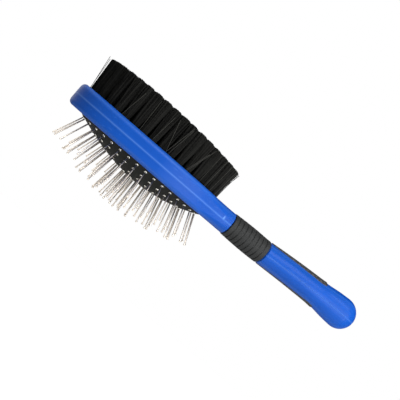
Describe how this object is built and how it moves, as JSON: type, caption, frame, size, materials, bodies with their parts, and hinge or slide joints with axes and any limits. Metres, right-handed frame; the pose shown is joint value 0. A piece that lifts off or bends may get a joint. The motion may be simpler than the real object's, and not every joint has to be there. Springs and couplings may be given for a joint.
{
  "type": "double-sided grooming brush",
  "caption": "Double-sided pet brush: oval head with black bristle tufts on one face, ball-tipped metal pins on a domed rubber cushion on the other, and a moulded handle with a ribbed collar.",
  "frame": {"origin": "centre of the bounding box in plan, at the level of the longest pin tips", "axes": "+X from the head's tip to the handle's end, +Z out of the bristle side, pins down, +Y across the head"},
  "size_m": [0.212, 0.0666, 0.066],
  "materials": {
    "blue_plastic": "satin moulded",
    "plate_plastic": "matte",
    "bristle_nylon": "fibre",
    "cushion_rubber": "matte",
    "pin_steel": "bright",
    "grip_rubber": "matte"
  },
  "bodies": {
    "brush_body": {"bristle_side_shell": "blue_plastic", "pin_side_shell": "blue_plastic", "bristle_plate": "plate_plastic", "bristle_ring_outer": "bristle_nylon", "bristle_ring_second": "bristle_nylon", "bristle_ring_third": "bristle_nylon", "bristle_ring_inner": "bristle_nylon", "bristle_row_centre": "bristle_nylon", "rubber_cushion": "cushion_rubber", "cushion_retaining_ring": "plate_plastic", "ribbed_collar": "grip_rubber", "upper_grip_inlay": "grip_rubber", "lower_grip_inlay": "grip_rubber"},
    "inner_pins": {"pin_ring_inner": "pin_steel", "pin_ring_centre": "pin_steel"},
    "third_pins": {"pin_ring_third": "pin_steel"},
    "second_pins": {"pin_ring_second": "pin_steel"},
    "outer_pins": {"pin_ring_outer": "pin_steel"}
  },
  "joints": [
    {"name": "press_inner", "type": "slide", "parent": "brush_body", "child": "inner_pins", "axis": [0, 0, 1], "range_m": [0, 0.003], "stiffness_N_per_m": 1500, "deforming": ["rubber_cushion"]},
    {"name": "press_third", "type": "slide", "parent": "brush_body", "child": "third_pins", "axis": [0, 0, 1], "range_m": [0, 0.0024]},
    {"name": "press_second", "type": "slide", "parent": "brush_body", "child": "second_pins", "axis": [0, 0, 1], "range_m": [0, 0.00165]},
    {"name": "press_outer", "type": "slide", "parent": "brush_body", "child": "outer_pins", "axis": [0, 0, 1], "range_m": [0, 0.00075]}
  ],
  "couplings": [
    {"joint": "press_third", "follows": "press_inner", "ratio": 0.79},
    {"joint": "press_second", "follows": "press_inner", "ratio": 0.54},
    {"joint": "press_outer", "follows": "press_inner", "ratio": 0.24}
  ]
}
